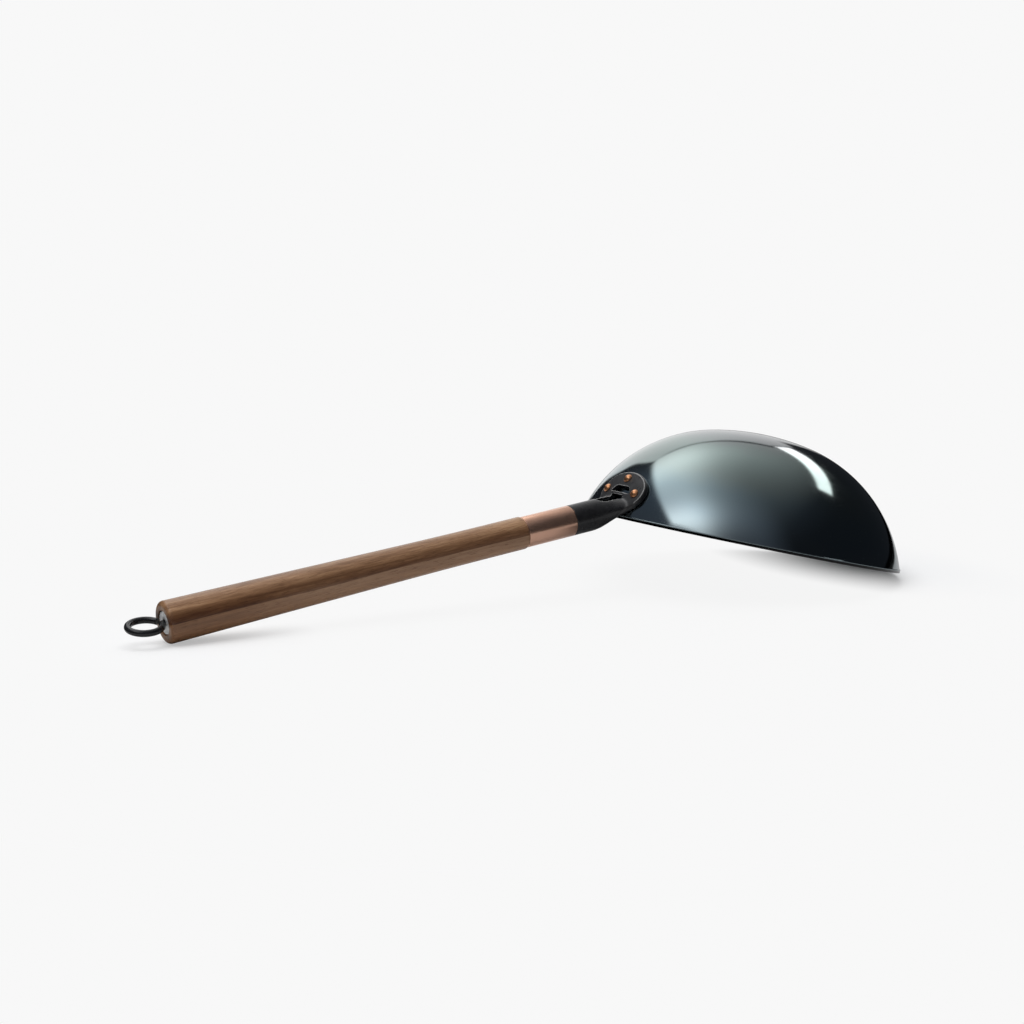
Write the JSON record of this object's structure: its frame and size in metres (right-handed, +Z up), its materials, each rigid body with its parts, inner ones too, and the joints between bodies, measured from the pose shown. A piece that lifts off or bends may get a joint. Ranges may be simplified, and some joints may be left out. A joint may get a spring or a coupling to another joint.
{
  "type": "wok",
  "caption": "Round-bottomed long-handled wok of blued steel with a riveted cast bracket, copper ferrule, walnut grip and hanging eye, lying mouth down.",
  "frame": {"origin": "middle of the part's box, on the surface that the wok lies on, mouth down", "axes": "+Z up; +X level, from the handle's butt to the far side of the rim; +Y across the rim"},
  "size_m": [0.7702, 0.305, 0.1413],
  "materials": {
    "blued_steel": "polished, blued",
    "black_iron": "satin black casting",
    "copper": "brushed copper",
    "walnut": "oiled, satin",
    "zinc_steel": "zinc plated",
    "black_rod": "satin black"
  },
  "bodies": {
    "root": {"pan": "blued_steel", "handle_bracket": "black_iron", "rivet_top": "copper", "rivet_left": "copper", "rivet_right": "copper", "ferrule": "copper", "handle_grip": "walnut", "butt_washer": "zinc_steel", "eye_bolt": "black_rod"}
  },
  "joints": []
}
